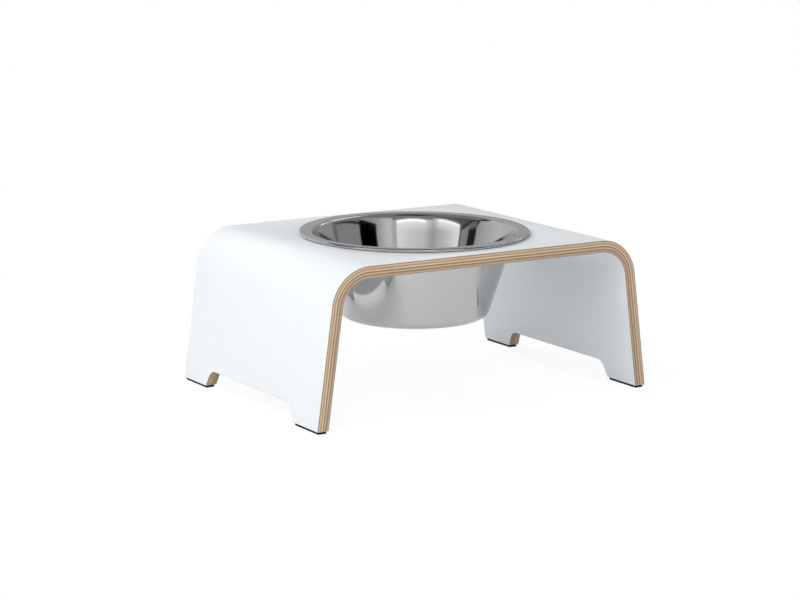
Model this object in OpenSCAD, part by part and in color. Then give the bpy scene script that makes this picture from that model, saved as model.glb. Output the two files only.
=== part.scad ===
// Dog feeder stand: a moulded plywood arch that carries one lift-out steel bowl.
// X runs across the arch, Y from front to back, and Z up from the floor.

/* [Arch] */
// Outer width across the soles of the feet
foot_spread = 300; // [280:1:360]
// Depth from the front edge to the back edge
arch_depth = 212; // [195:1:260]
// Height from the soles of the feet to the top face
arch_height = 119.5; // [100:0.5:180]
// Lean of each leg from upright, in degrees
leg_lean = 7.8; // [2:0.1:12]
// Radius of each bend, on the outer face
bend_radius = 32; // [20:0.5:38]

/* [Layers] */
// Thickness of each white laminate sheet
laminate_t = 0.8; // [0.5:0.1:1.2]
// Thickness of each beech veneer
veneer_t = 1.1; // [0.8:0.05:1.5]

/* [Feet] */
// Length of each foot at its sole, along the depth
foot_length = 36.6; // [25:0.2:50]
// Height of the gap between the two feet of a leg
gap_height = 13; // [11:0.5:24]
// Lean of the gap's sides from upright, in degrees
gap_lean = 25.5; // [10:0.5:45]
// Radius of the gap's upper corners
gap_radius = 9; // [4:0.5:10]

/* [Pads] */
// Thickness of each rubber pad
pad_t = 2; // [1:0.1:5]
// Margin between a pad and the edges of its foot
pad_margin = 1; // [0.5:0.1:2]
// Radius of a pad's corners
pad_corner = 1; // [0.5:0.1:1.5]

/* [Bowl] */
// Diameter of the bowl over its rolled edge
rim_d = 182; // [170:0.5:190]
// Height of the bowl, from its base to the top of its rim
bowl_height = 69.2; // [50:0.1:80]
// Thickness of the steel sheet
sheet_t = 0.6; // [0.4:0.1:0.8]
// Diameter of the rolled edge
roll_d = 2.6; // [1.8:0.1:3]
// How far round the edge is rolled, in degrees
roll_turn = 240; // [180:5:260]
// Width of the flat flange between the rolled edge and the shoulder
flange_w = 6.6; // [6:0.1:10]
// Rise of the flange towards its rim, in degrees
flange_rise = 3; // [0:0.5:5]
// Radius of the shoulder, on the outside of the bowl
shoulder_radius = 3.4; // [2:0.1:5]
// Lean of the bowl's wall from upright, in degrees
wall_lean = 18.6; // [8:0.1:24]
// Radius of the flare at the top of the wall, on the outside of the bowl
flare_radius = 150; // [80:5:200]
// Turn of the wall through its flare, in degrees
flare_turn = 4; // [1:0.5:6]
// Radius between wall and base, on the outside of the bowl
base_radius = 6; // [3:0.5:15]

/* [Fits] */
// Room between the bowl's throat and the edge of its opening
opening_clearance = 2.1; // [2:0.1:4]
// Room between the rolled edge and the top face
seat_clearance = 0.2; // [0.1:0.1:0.5]

/* [Hidden] */
$fn = 96;
veneer_count = 7;
arc_steps = 10;
flare_steps = 5;
cut_margin = 5;
// Arcs stand this little proud, so that they cross the straight runs and don't only touch them.
arc_overlap = 0.001;

long_grain = [0.80, 0.69, 0.56];
cross_grain = [0.64, 0.52, 0.40];
white = [0.95, 0.96, 0.97];
black = [0.13, 0.13, 0.13];
steel = [0.72, 0.72, 0.73];

// The arch stands on its pads, and each layer is cut from the outer face inwards.
sole_z = pad_t;
top_z = sole_z + arch_height;
core_t = veneer_count * veneer_t;
panel_t = core_t + 2 * laminate_t;
sole_w = panel_t / cos(leg_lean);
sole_x = foot_spread / 2 - sole_w / 2;
sole_y = arch_depth / 2 - foot_length / 2;

// Centres of the bowl's four bends in section, each as [radius, height].
roll_radius = roll_d / 2;
roll_centre = [rim_d / 2 - roll_radius, top_z + seat_clearance + roll_radius];
flange_along = [cos(flange_rise), sin(flange_rise)];
flange_up = [-sin(flange_rise), cos(flange_rise)];
shoulder_drop = shoulder_radius + sheet_t - roll_radius;
shoulder_centre = roll_centre - flange_w * flange_along - shoulder_drop * flange_up;
throat_lean = wall_lean + flare_turn;
throat_out = [cos(throat_lean), -sin(throat_lean)];
throat = shoulder_centre - shoulder_radius * throat_out;
flare_centre = throat + flare_radius * throat_out;
base_z = roll_centre[1] + roll_radius - bowl_height;
wall_out = [cos(wall_lean), -sin(wall_lean)];
wall_down = [-sin(wall_lean), -cos(wall_lean)];
wall_start = flare_centre - flare_radius * wall_out;
wall_end_z = base_z + base_radius * (1 - sin(wall_lean));
wall_length = (wall_start[1] - wall_end_z) / cos(wall_lean);
base_centre = wall_start + wall_length * wall_down - base_radius * wall_out;
opening_radius = throat[0] + opening_clearance;

// Points on an arc from one angle to another, both ends included.
function arc(centre, radius, from, to, steps) = [
    for (i = [0:steps])
        let (a = from + (to - from) * i / steps)
            centre + radius * [cos(a), sin(a)]
];

// The points of a list in the opposite order.
function reversed(points) = [for (i = [len(points) - 1:-1:0]) points[i]];

// Outline of a rectangle with round corners, centred on the origin.
function round_rectangle(width, length, radius) = [
    for (corner = [[1, 1, 0], [-1, 1, 90], [-1, -1, 180], [1, -1, 270]])
        each arc(
            [corner[0] * (width / 2 - radius), corner[1] * (length / 2 - radius)],
            radius, corner[2], corner[2] + 90, arc_steps
        )
];

// One face of the bowl's sheet, from the middle of the base to the end of the rolled edge.
// Inset is how far the face lies inside the bowl's outside.
function bowl_face(inset) = concat(
    [[0, base_z + inset]],
    arc(base_centre, base_radius - inset, -90, -wall_lean, arc_steps),
    arc(
        flare_centre, flare_radius + inset,
        180 - wall_lean, 180 - throat_lean + flare_turn / flare_steps, flare_steps - 1
    ),
    arc(shoulder_centre, shoulder_radius + inset, 180 - throat_lean, 90 + flange_rise, arc_steps),
    arc(
        roll_centre, roll_radius - sheet_t + inset,
        90 + flange_rise, 90 + flange_rise - roll_turn, 2 * arc_steps
    )
);

// Trapezoid on the X axis, whose sides lean inwards and whose upper corners are round.
// Both sides run on below the axis, past whatever the shape cuts or is cut by there.
module round_trapezoid(base_half, height, lean, radius) {
    corner_x = base_half - (height - radius) * tan(lean) - radius / cos(lean);
    corner_y = height - radius;
    side_x = corner_x + radius * cos(lean);
    side_y = corner_y + radius * sin(lean);
    foot_x = base_half + cut_margin * tan(lean);
    polygon([
        [foot_x, -cut_margin],
        [side_x, side_y],
        [corner_x, height],
        [-corner_x, height],
        [-side_x, side_y],
        [-foot_x, -cut_margin],
    ]);
    for (side = [-1, 1])
        translate([side * corner_x, corner_y])
            circle(r = radius + arc_overlap);
}

// Everything under the face that lies a given distance inside the arch's outer face.
module under_face(inset) {
    round_trapezoid(
        foot_spread / 2 - inset / cos(leg_lean), arch_height - inset,
        leg_lean, bend_radius - inset
    );
}

// What lies below the soles, where the legs are cut off level.
module below_soles() {
    translate([-foot_spread, -2 * cut_margin])
        square([2 * foot_spread, 2 * cut_margin]);
}

// Round opening in the top, which the bowl hangs in.
module bowl_opening() {
    translate([0, 0, top_z - bend_radius])
        cylinder(r = opening_radius, h = bend_radius + cut_margin);
}

// Gap between the front and rear feet, through both legs.
module foot_gaps() {
    translate([-foot_spread / 2 - cut_margin, 0, sole_z])
        rotate([90, 0, 90])
            linear_extrude(foot_spread + 2 * cut_margin)
                round_trapezoid(
                    arch_depth / 2 - foot_length, gap_height, gap_lean, gap_radius
                );
}

// One bent sheet of the arch, between two distances inside the outer face.
module arch_layer(from, to) {
    difference() {
        translate([0, arch_depth / 2, sole_z])
            rotate([90, 0, 0])
                linear_extrude(arch_depth)
                    difference() {
                        under_face(from);
                        under_face(to);
                        below_soles();
                    }
        bowl_opening();
        foot_gaps();
    }
}

// White sheet on the outside of the arch.
module outer_laminate() {
    color(white)
        arch_layer(0, laminate_t);
}

// Beech veneer, counted from the outside of the arch.
module veneer(number, tint) {
    from = laminate_t + (number - 1) * veneer_t;
    color(tint)
        arch_layer(from, from + veneer_t);
}

// White sheet on the inside of the arch.
module inner_laminate() {
    color(white)
        arch_layer(panel_t - laminate_t, panel_t);
}

// Rubber pad under one foot, on the given side (-1 left, 1 right) and end (-1 front, 1 rear).
module pad(side, end) {
    color(black)
        translate([side * sole_x, end * sole_y, 0])
            linear_extrude(pad_t)
                polygon(round_rectangle(
                    sole_w - 2 * pad_margin, foot_length - 2 * pad_margin, pad_corner
                ));
}

// Pressed steel bowl that hangs in the opening by its rolled edge.
module bowl() {
    color(steel)
        rotate_extrude()
            polygon(concat(bowl_face(0), reversed(bowl_face(sheet_t))));
}

outer_laminate();
veneer(1, long_grain);  // long_grain_veneer_1
veneer(2, cross_grain);  // cross_grain_veneer_1
veneer(3, long_grain);  // long_grain_veneer_2
veneer(4, cross_grain);  // cross_grain_veneer_2
veneer(5, long_grain);  // long_grain_veneer_3
veneer(6, cross_grain);  // cross_grain_veneer_3
veneer(7, long_grain);  // long_grain_veneer_4
inner_laminate();
pad(-1, -1);  // front_left_pad
pad(1, -1);  // front_right_pad
pad(-1, 1);  // rear_left_pad
pad(1, 1);  // rear_right_pad
bowl();
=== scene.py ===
"""Dog feeder stand: smooth meshes, finishes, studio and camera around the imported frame.

Lengths are in metres and angles in radians, in the frame's own axes: X across the arch, Y from the
front edge to the back edge, and Z up from the floor.
"""

from __future__ import annotations

import logging
import math
from collections.abc import Callable
from dataclasses import dataclass, field
from enum import Enum

import bmesh
import bpy
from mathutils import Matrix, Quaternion, Vector

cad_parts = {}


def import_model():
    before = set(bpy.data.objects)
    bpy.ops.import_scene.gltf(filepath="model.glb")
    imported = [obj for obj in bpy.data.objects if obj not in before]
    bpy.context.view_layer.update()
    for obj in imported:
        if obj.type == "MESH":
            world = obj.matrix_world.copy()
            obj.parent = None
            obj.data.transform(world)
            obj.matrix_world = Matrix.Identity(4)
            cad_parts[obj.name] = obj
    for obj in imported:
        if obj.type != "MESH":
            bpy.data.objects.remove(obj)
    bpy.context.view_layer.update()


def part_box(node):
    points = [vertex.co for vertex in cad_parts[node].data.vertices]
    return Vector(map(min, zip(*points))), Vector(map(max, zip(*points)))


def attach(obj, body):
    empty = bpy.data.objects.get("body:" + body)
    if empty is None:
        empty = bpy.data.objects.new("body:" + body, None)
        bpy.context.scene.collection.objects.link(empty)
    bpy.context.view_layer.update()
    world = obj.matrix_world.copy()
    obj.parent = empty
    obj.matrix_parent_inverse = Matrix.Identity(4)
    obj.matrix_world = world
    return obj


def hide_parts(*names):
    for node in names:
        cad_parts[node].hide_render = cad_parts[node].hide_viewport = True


LOG = logging.getLogger("feeder_stand")
MM = 0.001
SMOOTH_ANGLE = math.radians(30)
SHARP_ANGLE = math.radians(45)
TOUCH = 0.001 * MM
ON_FACE = 10 * TOUCH
NOISE_MIDDLE = (0.3, 0.7)
FRONT_TO_BACK = Vector((0.0, 1.0, 0.0))
UPWARDS = Vector((0.0, 0.0, 1.0))

Colour = tuple[float, float, float]
Place = tuple[float, float, float]
Socket = bpy.types.NodeSocket
Piece = bpy.types.Object


class Body(str, Enum):
    """The bodies that move as one."""

    STAND = "stand"
    BOWL = "bowl"


class Slot(str, Enum):
    """The record's material slots."""

    LAMINATE = "white_laminate"
    LONG_GRAIN = "long_grain_beech"
    CROSS_GRAIN = "cross_grain_beech"
    RUBBER = "black_rubber"
    STEEL = "bowl_steel"


class Grain(Enum):
    """Which way a veneer's fibres run."""

    ALONG = "along the arch"
    ACROSS = "across the arch"


class Side(Enum):
    """The stand's left and right legs, as signs of X."""

    LEFT = -1
    RIGHT = 1


class End(Enum):
    """The stand's front and rear feet, as signs of Y."""

    FRONT = -1
    REAR = 1


# Work at the bench: short calls for what is done to every mesh.


def deselect_all() -> None:
    """Leaves nothing selected, so that an operator acts on one piece only."""
    for piece in bpy.context.selected_objects:
        piece.select_set(False)


def make_active(piece: Piece) -> None:
    """Selects one piece alone and makes it the active one."""
    deselect_all()
    piece.select_set(True)
    bpy.context.view_layer.objects.active = piece


def name_new_piece(name: str) -> Piece:
    """Names the primitive that was just added.

    Args:
        name: The piece's name, which its mesh takes too.

    Returns:
        The piece, selected alone.
    """
    piece = bpy.context.active_object
    piece.name = name
    piece.data.name = name
    make_active(piece)
    return piece


def apply_place(piece: Piece) -> None:
    """Puts a piece's place, turn and scale into its mesh."""
    make_active(piece)
    bpy.ops.object.transform_apply(location=True, rotation=True, scale=True)


def start_editing(piece: Piece) -> None:
    """Enters edit mode on one piece, with nothing selected in its mesh."""
    make_active(piece)
    bpy.ops.object.mode_set(mode="EDIT")
    bpy.ops.mesh.select_mode(type="VERT")
    bpy.ops.mesh.select_all(action="DESELECT")


def stop_editing() -> None:
    """Goes back to object mode."""
    bpy.ops.object.mode_set(mode="OBJECT")


def select_where(piece: Piece, kind: str, test: Callable[..., bool]) -> None:
    """Selects what passes a test, in edit mode, and deselects the rest.

    Args:
        piece: The piece that is being edited.
        kind: What is tested: verts, edges or faces.
        test: Called with each vertex, edge or face.
    """
    bpy.ops.mesh.select_all(action="DESELECT")
    bpy.ops.mesh.select_mode(type={"verts": "VERT", "edges": "EDGE", "faces": "FACE"}[kind])
    mesh = bmesh.from_edit_mesh(piece.data)
    for element in getattr(mesh, kind):
        if test(element):
            element.select_set(True)
    mesh.select_flush_mode()
    bmesh.update_edit_mesh(piece.data)


def extrude_by(step: Vector) -> None:
    """Extrudes what is selected and moves it by a step."""
    bpy.ops.mesh.extrude_region_move(TRANSFORM_OT_translate={"value": tuple(step)})


def spin_by(centre: Vector, axis: Vector, turn: float, steps: int) -> None:
    """Spins what is selected about an axis.

    Args:
        centre: A point on the axis.
        axis: The axis's direction.
        turn: The angle by the right-hand rule, which is the operator's angle the other way round.
        steps: How many straight pieces the turn has.
    """
    bpy.ops.mesh.spin(steps=steps, angle=-turn, center=tuple(centre), axis=tuple(axis))


def finish_with(piece: Piece, kind: str, **settings: object) -> None:
    """Adds a modifier to a piece and applies it.

    Args:
        piece: The piece.
        kind: The modifier's type.
        settings: The modifier's own settings.
    """
    make_active(piece)
    modifier = piece.modifiers.new(kind.title(), kind)
    for setting, value in settings.items():
        setattr(modifier, setting, value)
    bpy.ops.object.modifier_apply(modifier=modifier.name)


def cut_away(piece: Piece, cutter: Piece) -> None:
    """Takes a cutter's shape out of a piece."""
    finish_with(piece, "BOOLEAN", object=cutter, operation="DIFFERENCE", solver="EXACT")


def discard(piece: Piece) -> None:
    """Removes a piece that was only a tool, with its mesh."""
    mesh = piece.data
    bpy.data.objects.remove(piece)
    bpy.data.meshes.remove(mesh)


def clean_mesh(piece: Piece) -> None:
    """Merges doubles and turns all faces of an open sheet or a closed solid the same way."""
    start_editing(piece)
    bpy.ops.mesh.select_all(action="SELECT")
    bpy.ops.mesh.remove_doubles(threshold=TOUCH)
    bpy.ops.mesh.normals_make_consistent(inside=False)
    stop_editing()


def shade(piece: Piece) -> None:
    """Shades a piece smooth, with its sharp edges kept."""
    make_active(piece)
    bpy.ops.object.shade_smooth_by_angle(angle=SMOOTH_ANGLE)


class Shader:
    """A material's nodes, with short calls to add and join them."""

    MIX_INPUTS = (0, 6, 7)
    MIX_RESULT = 2

    def __init__(self, name: str) -> None:
        """Makes a new material with one principled surface."""
        self.material = bpy.data.materials.new(name)
        self.material.use_nodes = True
        self.tree = self.material.node_tree
        self.surface = self.tree.nodes["Principled BSDF"]

    def set(self, socket: Socket, value: object) -> None:
        """Gives a socket a value, or joins another socket to it."""
        if isinstance(value, bpy.types.NodeSocket):
            self.tree.links.new(value, socket)
        else:
            socket.default_value = value

    def add(self, kind: str, inputs: dict[str, object], **settings: object) -> bpy.types.Node:
        """Adds a node.

        Args:
            kind: The node's type.
            inputs: Values or sockets for its inputs, by name.
            settings: The node's own settings.

        Returns:
            The node.
        """
        node = self.tree.nodes.new(kind)
        for setting, value in settings.items():
            setattr(node, setting, value)
        for name, value in inputs.items():
            self.set(node.inputs[name], value)
        return node

    def dress(self, **inputs: object) -> None:
        """Sets inputs of the principled surface, with underscores for spaces in their names."""
        for name, value in inputs.items():
            self.set(self.surface.inputs[name.replace("_", " ")], value)

    def maths(self, operation: str, *values: object) -> Socket:
        """Works out a number from one to three others."""
        node = self.add("ShaderNodeMath", {}, operation=operation)
        for socket, value in zip(node.inputs, values):
            self.set(socket, value)
        return node.outputs[0]

    def blend(self, share: object, first: object, second: object, mode: str = "MIX") -> Socket:
        """Blends two colours by a share."""
        node = self.add("ShaderNodeMix", {}, data_type="RGBA", blend_type=mode)
        for index, value in zip(self.MIX_INPUTS, (share, first, second)):
            ready = isinstance(value, (Socket, float))
            self.set(node.inputs[index], value if ready else (*value, 1.0))
        return node.outputs[self.MIX_RESULT]

    def spread(self, value: Socket, low: float, high: float, to: tuple[float, float]) -> Socket:
        """Maps a range of a number smoothly onto another range."""
        inputs = {"Value": value, "From Min": low, "From Max": high}
        inputs.update({"To Min": to[0], "To Max": to[1]})
        node = self.add("ShaderNodeMapRange", inputs, interpolation_type="SMOOTHSTEP")
        return node.outputs["Result"]

    def stretched(self, vector: Socket, lengths: Place) -> Socket:
        """Divides a place by a length on each axis, so that a pattern has that size there."""
        node = self.add("ShaderNodeVectorMath", {}, operation="DIVIDE")
        self.set(node.inputs[0], vector)
        self.set(node.inputs[1], lengths)
        return node.outputs[0]

    def noise(self, vector: Socket, lengths: Place, detail: float = 2.0) -> Socket:
        """Cloudy noise of a given size on each axis, between about 0.2 and 0.8."""
        inputs = {"Vector": self.stretched(vector, lengths), "Scale": 1.0, "Detail": detail}
        return self.add("ShaderNodeTexNoise", inputs).outputs["Fac"]

    def bump(self, height: Socket, depth: float, strength: float) -> Socket:
        """A normal from a height between 0 and 1, at a real depth."""
        inputs = {"Height": height, "Distance": depth, "Strength": strength}
        return self.add("ShaderNodeBump", inputs).outputs["Normal"]

    def place(self) -> Socket:
        """The place on the piece, in the frame's axes."""
        return self.add("ShaderNodeTexCoord", {}).outputs["Object"]

    def on_card(self) -> Socket:
        """The place on a flat card, from 0 to 1 across it and up it."""
        return self.add("ShaderNodeTexCoord", {}).outputs["UV"]

    def attribute(self, name: str) -> bpy.types.Node:
        """One of the mesh's own attributes."""
        return self.add("ShaderNodeAttribute", {}, attribute_name=name)

    def toned(self, colour: Socket) -> Socket:
        """A colour made lighter or darker by the layer's own tone."""
        return self.blend(1.0, colour, self.attribute(Arch.TONE).outputs["Fac"], mode="MULTIPLY")


# Finishes.


@dataclass(frozen=True)
class LaminateFinish:
    """White decor face of the laminate, with a satin touch."""

    name: str = "white_laminate_face"
    tone: Colour = (0.823, 0.857, 0.885)
    mottle: float = 0.012
    mottle_size: float = 40 * MM
    gloss: float = 0.5
    roughness: tuple[float, float] = (0.36, 0.42)
    peel_size: float = 0.9 * MM
    peel_depth: float = 0.012 * MM
    peel_strength: float = 0.5

    def material(self) -> bpy.types.Material:
        """Makes the material: an even white with a faint press texture."""
        shader = Shader(self.name)
        place = shader.place()
        cloud = shader.noise(place, (self.mottle_size,) * 3, detail=3.0)
        peel = shader.noise(place, (self.peel_size,) * 3)
        shadow_tone = tuple(part - self.mottle for part in self.tone)
        shader.dress(
            Base_Color=shader.blend(cloud, shadow_tone, self.tone),
            Roughness=shader.spread(peel, *NOISE_MIDDLE, self.roughness),
            Normal=shader.bump(peel, self.peel_depth, self.peel_strength),
            Specular_IOR_Level=self.gloss,
        )
        return shader.material


@dataclass(frozen=True)
class LaminateCoreFinish:
    """Brown pressed-paper core, which shows where the laminate is cut."""

    name: str = "laminate_core"
    tone: Colour = (0.24, 0.175, 0.118)
    dark_tone: Colour = (0.15, 0.105, 0.068)
    paper_size: Place = (6 * MM, 6 * MM, 0.12 * MM)
    roughness: float = 0.55

    def material(self) -> bpy.types.Material:
        """Makes the material: fine paper layers along the cut."""
        shader = Shader(self.name)
        unrolled = shader.attribute(Arch.UNROLLED).outputs["Vector"]
        paper = shader.noise(unrolled, self.paper_size)
        core = shader.blend(paper, self.dark_tone, self.tone)
        shader.dress(Base_Color=shader.toned(core), Roughness=self.roughness)
        return shader.material


@dataclass(frozen=True)
class VeneerFinish:
    """Beech veneer, with fibres, flecks and a dark glue line on each side."""

    name: str
    grain: Grain
    light: Colour
    dark: Colour
    end_tone: Colour
    end_share: float = 0.8
    fibre_length: float = 38 * MM
    fibre_width: float = 0.22 * MM
    fibre_range: tuple[float, float] = (0.32, 0.68)
    fibre_depth: float = 0.03 * MM
    fibre_strength: float = 0.4
    fleck_length: float = 2.4 * MM
    fleck_width: float = 0.13 * MM
    fleck_range: tuple[float, float] = (0.58, 0.72)
    fleck_share: float = 0.45
    glue_tone: Colour = (0.16, 0.10, 0.06)
    glue_width: float = 0.07 * MM
    glue_share: float = 0.75
    roughness: float = 0.5

    def along_fibres(self, length: float, width: float) -> Place:
        """Sizes on the unrolled panel's axes of a pattern that runs with the fibres."""
        if self.grain is Grain.ALONG:
            return (length, width, width)
        return (width, length, width)

    def material(self, laminate_t: float, veneer_t: float) -> bpy.types.Material:
        """Makes the material on the unrolled panel, so that the fibres follow the bends.

        Args:
            laminate_t: Depth of the first veneer's outer face.
            veneer_t: Thickness of a veneer.

        Returns:
            The material.
        """
        shader = Shader(self.name)
        unrolled = shader.attribute(Arch.UNROLLED).outputs["Vector"]
        fibre_size = self.along_fibres(self.fibre_length, self.fibre_width)
        fibres = shader.noise(unrolled, fibre_size, detail=4.0)
        fleck_size = self.along_fibres(self.fleck_length, self.fleck_width)
        flecks = shader.noise(unrolled, fleck_size, detail=1.0)
        lightness = shader.spread(fibres, *self.fibre_range, (0.0, 1.0))
        wood = shader.blend(lightness, self.dark, self.light)
        flecked = shader.spread(flecks, *self.fleck_range, (0.0, self.fleck_share))
        wood = shader.blend(flecked, wood, self.dark)
        cut = shader.attribute(Arch.END_GRAIN).outputs["Fac"]
        wood = shader.blend(shader.maths("MULTIPLY", cut, self.end_share), wood, self.end_tone)
        depth = shader.add("ShaderNodeSeparateXYZ", {"Vector": unrolled}).outputs["Z"]
        layer = shader.maths("DIVIDE", shader.maths("SUBTRACT", depth, laminate_t), veneer_t)
        share = shader.maths("FRACT", layer)
        to_joint = shader.maths("MINIMUM", share, shader.maths("SUBTRACT", 1.0, share))
        glue = shader.spread(to_joint, 0.0, self.glue_width / veneer_t, (self.glue_share, 0.0))
        shader.dress(
            Base_Color=shader.toned(shader.blend(glue, wood, self.glue_tone)),
            Roughness=self.roughness,
            Normal=shader.bump(fibres, self.fibre_depth, self.fibre_strength),
        )
        return shader.material


@dataclass(frozen=True)
class RubberFinish:
    """Black rubber with a fine matt skin."""

    name: str = "black_rubber_skin"
    tone: Colour = (0.007, 0.007, 0.007)
    worn_tone: Colour = (0.013, 0.0127, 0.0125)
    wear_size: float = 6 * MM
    gloss: float = 0.2
    roughness: tuple[float, float] = (0.65, 0.85)
    pore_size: float = 0.5 * MM
    pore_depth: float = 0.05 * MM
    pore_strength: float = 0.6

    def material(self) -> bpy.types.Material:
        """Makes the material: a dull black with fine pores."""
        shader = Shader(self.name)
        place = shader.place()
        pores = shader.noise(place, (self.pore_size,) * 3, detail=3.0)
        wear = shader.noise(place, (self.wear_size,) * 3, detail=3.0)
        shader.dress(
            Base_Color=shader.blend(wear, self.tone, self.worn_tone),
            Specular_IOR_Level=self.gloss,
            Roughness=shader.spread(pores, *NOISE_MIDDLE, self.roughness),
            Normal=shader.bump(pores, self.pore_depth, self.pore_strength),
        )
        return shader.material


@dataclass(frozen=True)
class SteelFinish:
    """Stainless steel, polished on the spinning bowl."""

    name: str = "polished_bowl_steel"
    tone: Colour = (0.55, 0.55, 0.552)
    roughness: tuple[float, float] = (0.05, 0.09)
    line_width: float = 0.35 * MM
    line_depth: float = 0.0012 * MM
    line_strength: float = 0.3

    def material(self) -> bpy.types.Material:
        """Makes the material: a mirror with faint polishing rings round the bowl's axis."""
        shader = Shader(self.name)
        parts = shader.add("ShaderNodeSeparateXYZ", {"Vector": shader.place()}).outputs
        across = shader.maths("MULTIPLY", parts["X"], parts["X"])
        radius = shader.maths("SQRT", shader.maths("MULTIPLY_ADD", parts["Y"], parts["Y"], across))
        ring = shader.add("ShaderNodeCombineXYZ", {"X": radius, "Y": parts["Z"]}).outputs["Vector"]
        lines = shader.noise(ring, (self.line_width, self.line_width, 1.0))
        shader.dress(
            Base_Color=(*self.tone, 1.0),
            Metallic=1.0,
            Roughness=shader.spread(lines, *NOISE_MIDDLE, self.roughness),
            Normal=shader.bump(lines, self.line_depth, self.line_strength),
        )
        return shader.material


# The object.


@dataclass
class Bowl:
    """The pressed steel bowl, which hangs in the arch by its rolled edge."""

    sheet_t: float = 0.6 * MM
    roll_radius: float = 1.3 * MM
    roll_turn: float = math.radians(240)
    flange_w: float = 6.6 * MM
    flange_rise: float = math.radians(3)
    shoulder_radius: float = 3.4 * MM
    wall_lean: float = math.radians(17.9)
    flare_radius: float = 150 * MM
    flare_turn: float = math.radians(4.7)
    base_radius: float = 8.0 * MM
    opening_clearance: float = 2.1 * MM
    steps_round: int = 192
    steps_bend: int = 14
    steps_roll: int = 20
    support: float = 0.4 * MM
    finish: SteelFinish = field(default_factory=SteelFinish)

    def __post_init__(self) -> None:
        """Works out the section's centres from the frame's box."""
        low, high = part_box("bowl")
        self.base_z = low.z
        self.roll_centre = Vector((high.x - self.roll_radius, high.z - self.roll_radius))
        self.flange_along = Vector((math.cos(self.flange_rise), math.sin(self.flange_rise)))
        flange_up = Vector((-self.flange_along.y, self.flange_along.x))
        drop = self.shoulder_radius + self.sheet_t - self.roll_radius
        flange_end = self.roll_centre - self.flange_w * self.flange_along
        self.shoulder_centre = flange_end - drop * flange_up
        throat_lean = self.wall_lean + self.flare_turn
        throat_out = Vector((math.cos(throat_lean), -math.sin(throat_lean)))
        throat = self.shoulder_centre - self.shoulder_radius * throat_out
        self.throat_radius = throat.x
        self.flare_centre = throat + self.flare_radius * throat_out
        wall_out = Vector((math.cos(self.wall_lean), -math.sin(self.wall_lean)))
        self.wall_down = Vector((-math.sin(self.wall_lean), -math.cos(self.wall_lean)))
        wall_top = self.flare_centre - self.flare_radius * wall_out
        wall_end_z = self.base_z + self.base_radius * (1 - math.sin(self.wall_lean))
        self.wall_length = (wall_top.y - wall_end_z) / math.cos(self.wall_lean)
        wall_end = wall_top + self.wall_length * self.wall_down
        self.base_centre = wall_end - self.base_radius * wall_out

    def straight(self, direction: Vector, length: float) -> None:
        """Extrudes the section's end along a straight run, with a short stretch at each end.

        Args:
            direction: The run's direction in the section, as radius and height.
            length: The run's length.
        """
        step = Vector((direction.x, 0.0, direction.y))
        for share in (self.support, length - 2 * self.support, self.support):
            extrude_by(step * share)

    def bend(self, centre: Vector, turn: float, steps: int) -> None:
        """Spins the section's end about a centre.

        Args:
            centre: The bend's centre, as radius and height.
            turn: The angle, positive where the section turns down and outwards.
            steps: How many straight pieces the arc has.
        """
        spin_by(Vector((centre.x, 0.0, centre.y)), FRONT_TO_BACK, turn, steps)

    def build(self) -> Piece:
        """Draws the section's inside, spins it round the axis and thickens the sheet."""
        deselect_all()
        bpy.ops.mesh.primitive_plane_add(size=MM, location=(0.0, 0.0, self.base_z + self.sheet_t))
        bowl = name_new_piece("bowl_shell")
        apply_place(bowl)
        start_editing(bowl)
        bpy.ops.mesh.select_all(action="SELECT")
        bpy.ops.mesh.merge(type="CENTER")
        self.straight(Vector((1.0, 0.0)), self.base_centre.x)
        self.bend(self.base_centre, -(math.pi / 2 - self.wall_lean), self.steps_bend)
        self.straight(-self.wall_down, self.wall_length)
        self.bend(self.flare_centre, self.flare_turn, self.steps_bend)
        turn = math.pi / 2 - self.wall_lean - self.flare_turn - self.flange_rise
        self.bend(self.shoulder_centre, turn, self.steps_bend)
        self.straight(self.flange_along, self.flange_w)
        self.bend(self.roll_centre, self.roll_turn, self.steps_roll)
        bpy.ops.mesh.select_all(action="SELECT")
        spin_by(Vector(), UPWARDS, 2 * math.pi, self.steps_round)
        stop_editing()
        clean_mesh(bowl)
        finish_with(bowl, "SOLIDIFY", thickness=self.sheet_t, offset=-1.0, use_even_offset=True)
        shade(bowl)
        return bowl

    def dress(self, bowl: Piece) -> None:
        """Gives the bowl its steel and hands it to its body."""
        bowl.data.materials.clear()
        bowl.data.materials.append(self.finish.material())
        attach(bowl, Body.BOWL.value)
        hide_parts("bowl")


@dataclass(frozen=True)
class Layer:
    """One bent sheet of the arch."""

    node: str
    depth: float
    thickness: float
    slot: Slot
    tone: float


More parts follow.
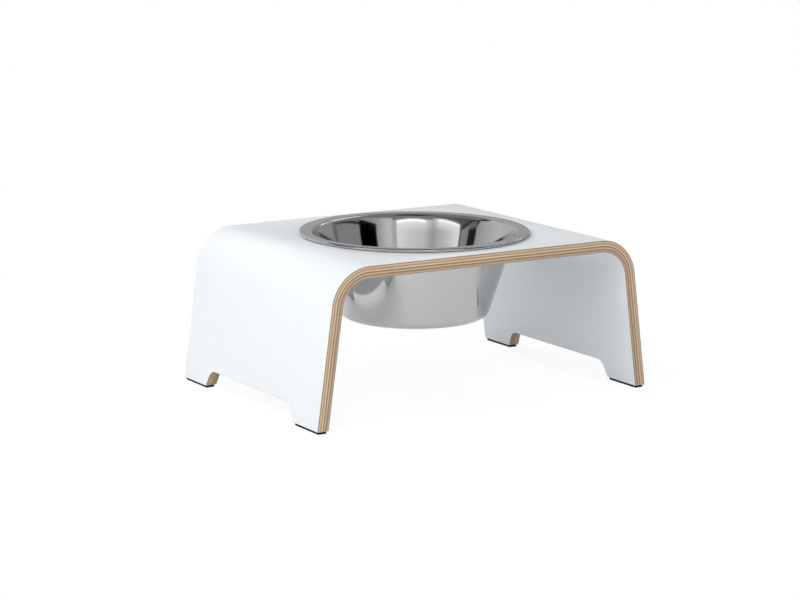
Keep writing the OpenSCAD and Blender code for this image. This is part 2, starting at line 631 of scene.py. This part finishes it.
@dataclass
class Arch:
    """The moulded panel: seven veneers between two laminate sheets, bent together."""

    UNROLLED = "unrolled"
    END_GRAIN = "end_grain"
    TONE = "layer_tone"

    opening_radius: float
    leg_lean: float = math.radians(7.8)
    bend_radius: float = 32 * MM
    laminate_t: float = 0.8 * MM
    veneer_t: float = 1.1 * MM
    veneer_tones: tuple[float, ...] = (1.03, 1.02, 1.16, 0.66, 1.02, 0.66, 0.79)
    outer_edge_tone: float = 1.6
    inner_edge_tone: float = 1.9
    foot_length: float = 36.6 * MM
    gap_height: float = 13 * MM
    gap_lean: float = math.radians(25.5)
    gap_radius: float = 9 * MM
    arris: float = 0.18 * MM
    arris_steps: int = 2
    bend_steps: int = 40
    gap_steps: int = 14
    opening_steps: int = 192
    support: float = 0.8 * MM
    cut_margin: float = 5 * MM

    def __post_init__(self) -> None:
        """Works out the outer face's section from the frame's box."""
        low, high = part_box("outer_laminate")
        self.half_spread, self.half_depth = high.x, high.y
        self.sole_z, self.top_z = low.z, high.z
        self.turn = math.pi / 2 - self.leg_lean
        rise = self.top_z - self.sole_z - self.bend_radius
        corner_x = self.half_spread - rise * math.tan(self.leg_lean)
        corner_x -= self.bend_radius / math.cos(self.leg_lean)
        self.corner = Vector((corner_x, self.top_z - self.bend_radius))
        self.panel_t = 2 * self.laminate_t + len(self.veneer_tones) * self.veneer_t
        self.leg_run = Vector((math.sin(self.leg_lean), -math.cos(self.leg_lean)))
        leg_rise = rise + self.bend_radius * math.sin(self.leg_lean)
        self.leg_length = leg_rise / math.cos(self.leg_lean)

    def layers(self) -> list[Layer]:
        """The nine layers from the outside inwards, at the depths that the frame gives."""
        sheet_t, slot = self.laminate_t, Slot.LAMINATE
        made = [Layer("outer_laminate", 0.0, sheet_t, slot, self.outer_edge_tone)]
        for number, tone in enumerate(self.veneer_tones):
            long_grain = number % 2 == 0
            kind = "long" if long_grain else "cross"
            node = f"{kind}_grain_veneer_{number // 2 + 1}"
            depth = self.top_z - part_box(node)[1].z
            wood = Slot.LONG_GRAIN if long_grain else Slot.CROSS_GRAIN
            made.append(Layer(node, depth, self.veneer_t, wood, tone))
        depth = self.panel_t - sheet_t
        made.append(Layer("inner_laminate", depth, sheet_t, slot, self.inner_edge_tone))
        return made

    def white_face(self, layer: Layer) -> float:
        """The depth of a laminate's white face, on the outside or the inside of the arch."""
        return 0.0 if layer.depth == 0.0 else self.panel_t

    def bend_at(self, point: Vector) -> tuple[Vector, float]:
        """A point's place from the centre of its bend, and how far the arch has turned there."""
        from_corner = Vector((abs(point.x), point.z)) - self.corner
        turn = math.atan2(from_corner.x, from_corner.y)
        return from_corner, min(max(turn, 0.0), self.turn)

    def unroll(self, point: Vector) -> Vector:
        """Where a point lay on the flat panel, before it was bent.

        Args:
            point: A point of the arch.

        Returns:
            Its places along the arch and from front to back, and its depth below the outer face.
        """
        from_corner, turn = self.bend_at(point)
        run = Vector((math.cos(turn), -math.sin(turn)))
        out = Vector((math.sin(turn), math.cos(turn)))
        middle_radius = self.bend_radius - self.panel_t / 2
        along = self.corner.x + middle_radius * turn + from_corner.dot(run)
        depth = self.bend_radius - from_corner.dot(out)
        return Vector((math.copysign(along, point.x), point.y, depth))

    def run_at(self, point: Vector) -> Vector:
        """The direction along the arch at a point."""
        turn = self.bend_at(point)[1]
        return Vector((math.copysign(math.cos(turn), point.x), 0.0, -math.sin(turn)))

    def is_at(self, point: Vector, depth: float) -> bool:
        """Whether a point lies at a given depth below the outer face."""
        return abs(self.unroll(point).z - depth) < ON_FACE

    def opening_cutter(self) -> Piece:
        """Makes the round cutter of the bowl's opening."""
        deselect_all()
        bpy.ops.mesh.primitive_cylinder_add(
            vertices=self.opening_steps,
            radius=self.opening_radius,
            depth=2 * self.bend_radius,
            location=(0.0, 0.0, self.top_z),
        )
        cutter = name_new_piece("opening_cutter")
        apply_place(cutter)
        return cutter

    def gap_cutter(self) -> Piece:
        """Makes the cutter of the gaps between the feet: leaning sides, round upper corners."""
        deselect_all()
        half_sole = self.half_depth - self.foot_length
        height = self.gap_height + self.cut_margin
        bpy.ops.mesh.primitive_cube_add(
            size=1.0, location=(0.0, 0.0, self.sole_z + self.gap_height - height / 2)
        )
        cutter = name_new_piece("gap_cutter")
        cutter.scale = (2 * self.half_spread + 2 * self.cut_margin, 2 * half_sole, height)
        apply_place(cutter)
        start_editing(cutter)
        top = self.sole_z + self.gap_height
        for level, rise in ((top, self.gap_height), (top - height, -self.cut_margin)):
            select_where(cutter, "verts", lambda v: abs(v.co.z - level) < TOUCH)
            half = half_sole - rise * math.tan(self.gap_lean)
            bpy.ops.transform.resize(
                value=(1.0, half / half_sole, 1.0), center_override=(0.0, 0.0, level)
            )
        select_where(
            cutter,
            "edges",
            lambda e: all(abs(v.co.z - top) < TOUCH for v in e.verts)
            and abs(e.verts[0].co.y - e.verts[1].co.y) < TOUCH,
        )
        corner_turn = math.pi / 2 - self.gap_lean
        setback = self.gap_radius * math.tan(corner_turn / 2)
        bpy.ops.mesh.bevel(offset=setback, segments=self.gap_steps, affect="EDGES")
        stop_editing()
        return cutter

    def bent_sheet(self, layer: Layer) -> Piece:
        """Bends one sheet over the form: a flat top, two bends and two legs, past the soles.

        Args:
            layer: The layer, whose depth is that of the sheet's outer face.

        Returns:
            The sheet as a closed solid, cut off level at the soles.
        """
        deselect_all()
        height = self.top_z - layer.depth
        flat_half = self.corner.x - self.support
        bpy.ops.mesh.primitive_plane_add(size=2.0, location=(0.0, 0.0, height))
        sheet = name_new_piece(layer.node + "_sheet")
        sheet.scale = (flat_half, self.half_depth, 1.0)
        apply_place(sheet)
        start_editing(sheet)
        for side in Side:
            sign = side.value
            reach = sign * flat_half
            select_where(
                sheet, "edges", lambda e: all(abs(v.co.x - reach) < TOUCH for v in e.verts)
            )
            extrude_by(Vector((sign * self.support, 0.0, 0.0)))
            centre = Vector((sign * self.corner.x, 0.0, self.corner.y))
            spin_by(centre, FRONT_TO_BACK, sign * self.turn, self.bend_steps)
            run = Vector((sign * self.leg_run.x, 0.0, self.leg_run.y))
            extrude_by(run * self.support)
            extrude_by(run * (self.leg_length + self.cut_margin))
        stop_editing()
        clean_mesh(sheet)
        self.face_up(sheet)
        finish_with(sheet, "SOLIDIFY", thickness=layer.thickness, offset=-1.0, use_even_offset=True)
        start_editing(sheet)
        bpy.ops.mesh.select_all(action="SELECT")
        bpy.ops.mesh.bisect(
            plane_co=(0.0, 0.0, self.sole_z),
            plane_no=tuple(UPWARDS),
            use_fill=True,
            clear_inner=True,
        )
        stop_editing()
        return sheet

    def face_up(self, sheet: Piece) -> None:
        """Turns a sheet's faces over where its top looks down."""
        top = max(sheet.data.polygons, key=lambda face: face.area)
        if top.normal.z < 0:
            start_editing(sheet)
            bpy.ops.mesh.select_all(action="SELECT")
            bpy.ops.mesh.flip_normals()
            stop_editing()

    def is_face_edge(self, edge: bmesh.types.BMEdge, depth: float) -> bool:
        """Whether an edge is a sharp one on the face at a given depth."""
        on_face = all(self.is_at(v.co, depth) for v in edge.verts)
        return on_face and edge.calc_face_angle(0.0) > SHARP_ANGLE

    def ease_edges(self, sheet: Piece, depth: float) -> None:
        """Takes the sharp edge off the face at a given depth."""
        start_editing(sheet)
        select_where(sheet, "edges", lambda e: self.is_face_edge(e, depth))
        bpy.ops.mesh.bevel(
            offset=self.arris, segments=self.arris_steps, affect="EDGES", clamp_overlap=True
        )
        stop_editing()

    def mark_panel(self, sheet: Piece, tone: float, grain: Grain | None) -> None:
        """Stores places on the flat panel, the layer's tone and how far faces cut the fibres.

        Args:
            sheet: The finished sheet.
            tone: How light the layer's cut edge is beside the others.
            grain: Which way its fibres run, or None for a laminate.
        """
        mesh = sheet.data
        tones = mesh.attributes.new(self.TONE, "FLOAT", "POINT")
        tones.data.foreach_set("value", [tone] * len(mesh.vertices))
        places = mesh.attributes.new(self.UNROLLED, "FLOAT_VECTOR", "POINT")
        for vertex in mesh.vertices:
            places.data[vertex.index].vector = self.unroll(vertex.co)
        if grain is None:
            return
        cuts = mesh.attributes.new(self.END_GRAIN, "FLOAT", "FACE")
        for face in mesh.polygons:
            fibres = self.run_at(face.center) if grain is Grain.ALONG else FRONT_TO_BACK
            cuts.data[face.index].value = abs(face.normal.dot(fibres))

    def build(self) -> list[tuple[Layer, Piece]]:
        """Bends and cuts all layers, and eases the laminates' edges."""
        opening, gap = self.opening_cutter(), self.gap_cutter()
        made = []
        for layer in self.layers():
            sheet = self.bent_sheet(layer)
            cut_away(sheet, opening)
            cut_away(sheet, gap)
            if layer.slot is Slot.LAMINATE:
                self.ease_edges(sheet, self.white_face(layer))
            made.append((layer, sheet))
        discard(opening)
        discard(gap)
        return made

    def dress(self, sheets: list[tuple[Layer, Piece]], finishes: dict[Slot, list]) -> None:
        """Gives each sheet its materials and hands it to its body.

        Args:
            sheets: The layers with their pieces.
            finishes: The materials of each slot, the face before the cut edge.
        """
        grains = {Slot.LONG_GRAIN: Grain.ALONG, Slot.CROSS_GRAIN: Grain.ACROSS}
        for layer, sheet in sheets:
            self.mark_panel(sheet, layer.tone, grains.get(layer.slot))
            sheet.data.materials.clear()
            for material in finishes[layer.slot]:
                sheet.data.materials.append(material)
            if layer.slot is Slot.LAMINATE:
                self.paint_cut_edges(sheet, self.white_face(layer))
            shade(sheet)
            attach(sheet, Body.STAND.value)
            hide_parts(layer.node)

    def paint_cut_edges(self, sheet: Piece, depth: float) -> None:
        """Leaves the first material on the face at a given depth, and puts the second elsewhere."""
        for face in sheet.data.polygons:
            corners = (sheet.data.vertices[index].co for index in face.vertices)
            on_face = all(self.is_at(corner, depth) for corner in corners)
            face.material_index = 0 if on_face else 1


@dataclass
class Pads:
    """The four rubber pads under the feet."""

    corner_radius: float = 1.0 * MM
    rim: float = 0.25 * MM
    rim_steps: int = 3
    corner_steps: int = 6
    finish: RubberFinish = field(default_factory=RubberFinish)

    def build_pad(self, node: str) -> Piece:
        """Makes one pad in its node's box: round corners first, then soft rims."""
        low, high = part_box(node)
        deselect_all()
        bpy.ops.mesh.primitive_cube_add(size=1.0, location=(low + high) / 2)
        pad = name_new_piece(node + "_rubber")
        pad.scale = high - low
        apply_place(pad)
        start_editing(pad)
        select_where(
            pad, "edges", lambda e: abs(e.verts[0].co.z - e.verts[1].co.z) > TOUCH
        )
        bpy.ops.mesh.bevel(offset=self.corner_radius, segments=self.corner_steps, affect="EDGES")
        select_where(
            pad,
            "edges",
            lambda e: abs(e.verts[0].co.z - e.verts[1].co.z) < TOUCH
            and e.calc_face_angle(0.0) > SHARP_ANGLE,
        )
        bpy.ops.mesh.bevel(offset=self.rim, segments=self.rim_steps, affect="EDGES")
        stop_editing()
        shade(pad)
        return pad

    def build(self) -> dict[str, Piece]:
        """Makes all four pads, by node."""
        nodes = [f"{end.name.lower()}_{side.name.lower()}_pad" for end in End for side in Side]
        return {node: self.build_pad(node) for node in nodes}

    def dress(self, pads: dict[str, Piece]) -> None:
        """Gives the pads their rubber and hands them to the stand."""
        rubber = self.finish.material()
        for node, pad in pads.items():
            pad.data.materials.clear()
            pad.data.materials.append(rubber)
            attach(pad, Body.STAND.value)
            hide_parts(node)


# The studio.


def towards(azimuth: float, elevation: float) -> Vector:
    """The direction from the stand to a place round it.

    Args:
        azimuth: The angle round the stand: 0 is in front of it, positive to its right.
        elevation: The angle above the floor.

    Returns:
        A unit vector.
    """
    level = math.cos(elevation)
    return Vector(
        (math.sin(azimuth) * level, -math.cos(azimuth) * level, math.sin(elevation))
    )


@dataclass(frozen=True)
class PhotoCamera:
    """The camera, at the photograph's viewing angle."""

    target: Place = (-42.63 * MM, -47.28 * MM, 79.9 * MM)
    azimuth: float = math.radians(-32.105)
    elevation: float = math.radians(11.226)
    distance: float = 1.8795
    roll: float = math.radians(0.242)
    lens: float = 110.39
    sensor: float = 36.0

    def build(self) -> None:
        """Adds the camera and makes it the scene's own."""
        back = towards(self.azimuth, self.elevation)
        data = bpy.data.cameras.new("photo_camera")
        data.lens, data.sensor_width = self.lens, self.sensor
        camera = bpy.data.objects.new("photo_camera", data)
        camera.location = Vector(self.target) + self.distance * back
        camera.rotation_mode = "QUATERNION"
        level = (-back).to_track_quat("-Z", "Y")
        camera.rotation_quaternion = level @ Quaternion((0.0, 0.0, 1.0), self.roll)
        bpy.context.scene.collection.objects.link(camera)
        bpy.context.scene.camera = camera


@dataclass(frozen=True)
class Softbox:
    """A soft lamp that faces the stand, with its angles in degrees."""

    name: str
    azimuth: float
    elevation: float
    distance: float
    width: float
    height: float
    power: float

    def build(self, aim: Vector) -> None:
        """Adds the lamp, out of sight of the camera and the steel."""
        data = bpy.data.lights.new(self.name, "AREA")
        data.shape = "RECTANGLE"
        data.size, data.size_y = self.width, self.height
        data.energy = self.power
        lamp = bpy.data.objects.new(self.name, data)
        back = towards(math.radians(self.azimuth), math.radians(self.elevation))
        lamp.location = aim + self.distance * back
        lamp.rotation_mode = "QUATERNION"
        lamp.rotation_quaternion = (-back).to_track_quat("-Z", "Y")
        lamp.visible_camera = False
        lamp.visible_glossy = False
        bpy.context.scene.collection.objects.link(lamp)


def glowing(name: str, glow: float) -> Shader:
    """Starts a material that gives off an even white glow and reflects nothing."""
    shader = Shader(name)
    shader.dress(Base_Color=(0.0, 0.0, 0.0, 1.0), Specular_IOR_Level=0.0)
    shader.dress(Emission_Color=(1.0, 1.0, 1.0, 1.0), Emission_Strength=glow)
    return shader


@dataclass(frozen=True)
class Card:
    """A flat upright card round the stand that only polished steel sees: its glow or its black is a
    painted reflection, and it lights nothing.

    Angles are in degrees, seen from the bowl's rim: azimuths as for the lamps, and elevations
    where the card is nearest. One glow is an even one, two are those at both azimuths, and four
    are those of the lower edge at both azimuths, then those of the upper edge.
    """

    name: str
    facing: float
    azimuths: tuple[float, float]
    elevations: tuple[float, float]
    glow: tuple[float, ...]
    distance: float = 2.4

    def material(self) -> bpy.types.Material:
        """Makes the material: an even glow, or one that fades across the card and up it."""
        shader = glowing(self.name, self.glow[0])
        if len(self.glow) > 1:
            spot = shader.add("ShaderNodeSeparateXYZ", {"Vector": shader.on_card()}).outputs
            edges = [
                shader.maths("MULTIPLY_ADD", spot["X"], end - start, start)
                for start, end in (self.glow[:2], self.glow[-2:])
            ]
            rise = shader.maths("SUBTRACT", edges[1], edges[0])
            shader.dress(Emission_Strength=shader.maths("MULTIPLY_ADD", rise, spot["Y"], edges[0]))
        return shader.material

    def build(self, aim: Vector) -> None:
        """Sets the card up, square to the direction that it faces."""
        facing = math.radians(self.facing)
        start, end = (
            self.distance * math.tan(math.radians(angle) - facing) for angle in self.azimuths
        )
        low, high = (
            aim.z + self.distance * math.tan(math.radians(angle)) for angle in self.elevations
        )
        across = towards(facing + math.pi / 2, 0.0)
        place = aim + self.distance * towards(facing, 0.0) + (start + end) / 2 * across
        place.z = (low + high) / 2
        deselect_all()
        bpy.ops.mesh.primitive_plane_add(
            size=1.0, location=place, rotation=(math.pi / 2, 0.0, facing)
        )
        card = name_new_piece(self.name)
        card.scale = (end - start, high - low, 1.0)
        apply_place(card)
        card.data.materials.append(self.material())
        show_to_steel_only(card)


def show_to_steel_only(piece: Piece) -> None:
    """Puts a piece on the stage, where only reflections in steel show it."""
    piece.visible_camera = False
    piece.visible_diffuse = False
    piece.visible_shadow = False
    piece.visible_transmission = False


@dataclass(frozen=True)
class Studio:
    """A white floor and surround, with soft lamps.

    The mirrored values are what polished steel sees of the floor near the stand. There a painted
    shadow darkens the floor to the stand's right, which only the steel shows.
    """

    aim: Place = (0.0, 0.0, 80 * MM)
    floor_size: float = 14.0
    floor_tone: float = 0.9
    floor_glow: float = 0.85
    floor_shadow: float = 0.2
    mirrored_glow: float = 0.22
    mirrored_shadow: float = 0.82
    # shade_reach and shade_share set a painted shadow on the floor to the stand's right, seen only
    # in the steel.
    shade_reach: tuple[float, float] = (0.13, 0.19)
    shade_share: float = 0.55
    shadow_reach: tuple[float, float] = (0.25, 0.6)
    ambient: float = 0.37
    softboxes: tuple[Softbox, ...] = (
        Softbox("left_lamp", -90, 45, 1.0, 0.8, 0.8, 3.0),
        Softbox("low_left_lamp", -100, 2, 1.0, 1.6, 0.12, 1.0),
        Softbox("front_left_lamp", -45, 45, 1.1, 0.8, 0.8, 3.95),
        Softbox("low_front_lamp", 0, 10, 2.2, 1.6, 0.6, 9.0),
        Softbox("low_right_lamp", 80, 12, 2.2, 1.6, 0.6, 3.5),
        Softbox("back_lamp", 180, 25, 2.2, 1.6, 0.8, 22.5),
    )
    # Painted reflections: the ceiling, its flag and the cards below glow or stay black for glossy
    # rays only, cast no shadow and light nothing.
    rim_height: float = 0.124
    ceiling_size: float = 24.0
    ceiling_height: float = 4.0
    ceiling_glow: float = 0.28
    overhead_flag_size: float = 1.8
    overhead_flag_place: Place = (-0.61, -0.98, 3.8)
    # The softbox and lamp cards are glowing sheets that paint highlights in the steel; the flags,
    # lines and dim walls paint its dark streaks.
    cards: tuple[Card, ...] = (
        Card("front_reflection_glow", -31, (-47, -9.5), (-3, 26), (0.76, 1.12)),
        Card("front_softbox_upper", -31, (-47, -9.5), (26, 33.8), (0.76, 1.12, 1.25, 1.42)),
        Card("front_softbox_top", -31, (-50, -9.5), (33.8, 35.1), (2.6,)),
        Card("front_softbox_end", -45, (-56.5, -47), (-3, 25.5), (0.54, 0.76)),
        Card("front_softbox_end_upper", -45, (-56.5, -47), (25.5, 34.3), (0.54, 0.76, 0.75, 1.30)),
        Card("side_softbox_end", -55, (-64, -56.5), (-3, 26.5), (0.68, 0.54)),
        Card("side_softbox_end_upper", -55, (-64, -56.5), (26.5, 34.6), (0.66, 0.54, 1.30, 0.75)),
        Card("side_reflection_glow", -50, (-93, -64), (-3, 27), (1.25, 0.68)),
        Card("side_softbox_upper", -50, (-93, -64), (27, 33.4), (1.25, 0.68, 1.3, 1.45)),
        Card("side_softbox_top", -50, (-93, -62), (33.4, 35.0), (1.9,)),
        Card("side_gap", -94, (-95.5, -93), (-3, 30), (0.15,)),
        Card("left_strip", -130, (-105.5, -95.5), (-3, 27.8), (0.30, 0.42)),
        Card("left_top_line", -130, (-116.3, -95.5), (27.8, 29.8), (0.02,)),
        Card("left_flag", -111, (-116.3, -105.5), (-3, 22.8), (0.02,)),
        Card("left_flag_upper", -111, (-116.3, -105.5), (22.8, 26.5), (0.22,)),
        Card("left_upper", -80, (-116.3, -62), (20, 45), (0.14,), distance=3.2),
        Card("back_left_wall", 180, (205, 243.7), (-3, 42.3), (0.77, 0.45)),
        Card("back_wall", 180, (156, 205), (-3, 42.3), (0.56, 0.77)),
        Card("back_top_line", 180, (195, 243.7), (42.3, 50), (0.03,)),
        Card("back_right_wall", 140, (113, 156), (-3, 22), (0.28, 0.34, 0.36, 0.60)),
        Card("back_right_upper", 140, (113, 156), (22, 30), (0.45,)),
        Card("side_highlight_glow", 108, (93, 124), (37, 58), (1.3,), distance=2.2),
        Card("side_lamp_foot", 110, (105, 115.5), (19, 37), (1.5, 1.5, 1.1, 1.1), distance=2.2),
        Card("right_far_wall", 92, (83.5, 113), (-3, 17), (0.40,)),
        Card("right_far_upper", 92, (83.5, 113), (17, 30), (0.47,)),
        Card("right_seam", 80, (76.5, 83.5), (-3, 20), (0.23,)),
        Card("right_wall", 28, (41, 76.5), (-3, 26.1), (0.345,)),
        Card("right_top_line", 28, (41, 76.5), (26.1, 27.6), (0.0,)),
        Card("right_flag", 28, (17.5, 41), (-3, 29.2), (0.0,)),
        Card("right_flag_upper", 28, (17.5, 41), (29.2, 34.5), (0.53, 0.42, 0.5, 0.35)),
        Card("front_wall", 5, (3, 17.5), (-3, 34.5), (0.82, 0.48)),
        Card("front_wall_middle", 0, (-3, 3), (-3, 34.5), (0.82,)),
        Card("front_seam", -6, (-9.5, -3), (-3, 33.5), (0.66,)),
    )

    def seen(self, tree: bpy.types.NodeTree) -> Socket:
        """Whether a ray comes from the camera or by way of metal or glass, as 0 or 1."""
        path = tree.nodes.new("ShaderNodeLightPath")
        found = path.outputs["Is Camera Ray"]
        for name in ("Is Glossy Ray", "Is Transmission Ray"):
            either = tree.nodes.new("ShaderNodeMath")
            either.operation = "MAXIMUM"
            tree.links.new(found, either.inputs[0])
            tree.links.new(path.outputs[name], either.inputs[1])
            found = either.outputs[0]
        return found

    def build_floor(self) -> None:
        """Adds the floor, which looks white and keeps the stand's shadow near the stand."""
        deselect_all()
        bpy.ops.mesh.primitive_plane_add(size=self.floor_size, location=(0.0, 0.0, 0.0))
        floor = name_new_piece("studio_floor")
        shader = Shader("studio_floor")
        nodes, links = shader.tree.nodes, shader.tree.links
        nodes.remove(shader.surface)
        plain = shader.add("ShaderNodeBsdfDiffuse", {"Color": (self.floor_tone,) * 3 + (1.0,)})
        direct = shader.add("ShaderNodeLightPath", {}).outputs["Is Camera Ray"]
        right = shader.add("ShaderNodeSeparateXYZ", {"Vector": shader.place()}).outputs["X"]
        # Painted shadow: past shade_reach on X, the floor that the steel sees is darkened to
        # shade_share.
        shade = shader.spread(right, *self.shade_reach, (1.0, self.shade_share))

        def shown(to_eye: float, to_steel: float) -> Socket:
            """A level as the camera sees it, and one with the painted shadow for the steel."""
            mirrored = shader.maths("MULTIPLY", shade, to_steel)
            change = shader.maths("SUBTRACT", to_eye, mirrored)
            return shader.maths("MULTIPLY_ADD", direct, change, mirrored)

        tone = shown(self.floor_shadow, self.mirrored_shadow)
        faint = shader.add("ShaderNodeBsdfDiffuse", {"Color": tone})
        light = shown(self.floor_glow, self.mirrored_glow)
        glow = shader.add("ShaderNodeEmission", {"Strength": light})
        far = shader.add("ShaderNodeEmission", {"Strength": 1.0})
        near = shader.add("ShaderNodeAddShader", {})
        links.new(faint.outputs[0], near.inputs[0])
        links.new(glow.outputs[0], near.inputs[1])
        reach = shader.add("ShaderNodeVectorMath", {"Vector": shader.place()}, operation="LENGTH")
        fade = shader.spread(reach.outputs["Value"], *self.shadow_reach, (0.0, 1.0))
        white = shader.add("ShaderNodeMixShader", {"Fac": fade})
        links.new(near.outputs[0], white.inputs[1])
        links.new(far.outputs[0], white.inputs[2])
        choice = shader.add("ShaderNodeMixShader", {"Fac": self.seen(shader.tree)})
        links.new(plain.outputs[0], choice.inputs[1])
        links.new(white.outputs[0], choice.inputs[2])
        links.new(choice.outputs[0], nodes["Material Output"].inputs["Surface"])
        floor.data.materials.append(shader.material)

    def build_world(self) -> None:
        """Makes the surround white to the eye and a plain soft light on the stand."""
        world = bpy.data.worlds.new("studio_surround")
        world.use_nodes = True
        bpy.context.scene.world = world
        tree = world.node_tree
        strength = tree.nodes.new("ShaderNodeMapRange")
        strength.inputs["To Min"].default_value = self.ambient
        tree.links.new(self.seen(tree), strength.inputs["Value"])
        background = tree.nodes["Background"]
        background.inputs["Color"].default_value = (1.0, 1.0, 1.0, 1.0)
        tree.links.new(strength.outputs["Result"], background.inputs["Strength"])

    def build_cards(self) -> None:
        """Adds the cards, the dim ceiling and its dark flag, which light nothing and paint the
        reflections, mostly in the bowl.
        """
        for card in self.cards:
            card.build(Vector((0.0, 0.0, self.rim_height)))
        above = (0.0, 0.0, self.ceiling_height)
        overhead = (
            ("dim_ceiling", self.ceiling_size, above, self.ceiling_glow),
            ("overhead_flag", self.overhead_flag_size, self.overhead_flag_place, 0.0),
        )
        for name, size, place, glow in overhead:
            deselect_all()
            bpy.ops.mesh.primitive_plane_add(size=size, location=place)
            sheet = name_new_piece(name)
            apply_place(sheet)
            sheet.data.materials.append(glowing(name, glow).material)
            show_to_steel_only(sheet)

    def build(self) -> None:
        """Adds floor, surround, lamps and cards."""
        self.build_floor()
        self.build_world()
        self.build_cards()
        for softbox in self.softboxes:
            softbox.build(Vector(self.aim))
        bpy.context.scene.view_settings.view_transform = "Standard"


def main() -> None:
    """Builds and dresses the stand, then the studio round it."""
    logging.basicConfig(level=logging.INFO, format="%(name)s: %(message)s")
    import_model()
    bowl = Bowl()
    shell = bowl.build()
    bowl.dress(shell)
    arch = Arch(opening_radius=bowl.throat_radius + bowl.opening_clearance)
    long_grain = VeneerFinish(
        "long_grain_beech_cut",
        Grain.ALONG,
        light=(0.68, 0.53, 0.38),
        dark=(0.54, 0.40, 0.27),
        end_tone=(0.36, 0.25, 0.16),
    )
    cross_grain = VeneerFinish(
        "cross_grain_beech_cut",
        Grain.ACROSS,
        light=(0.56, 0.42, 0.28),
        dark=(0.44, 0.31, 0.20),
        end_tone=(0.42, 0.272, 0.135),
    )
    finishes = {
        Slot.LAMINATE: [LaminateFinish().material(), LaminateCoreFinish().material()],
        Slot.LONG_GRAIN: [long_grain.material(arch.laminate_t, arch.veneer_t)],
        Slot.CROSS_GRAIN: [cross_grain.material(arch.laminate_t, arch.veneer_t)],
    }
    sheets = arch.build()
    arch.dress(sheets, finishes)
    pads = Pads()
    feet = pads.build()
    pads.dress(feet)
    for piece in (shell, *(sheet for _, sheet in sheets), *feet.values()):
        LOG.info("%s: %d faces", piece.name, len(piece.data.polygons))
    PhotoCamera().build()
    Studio().build()


if __name__ == "__main__":
    main()
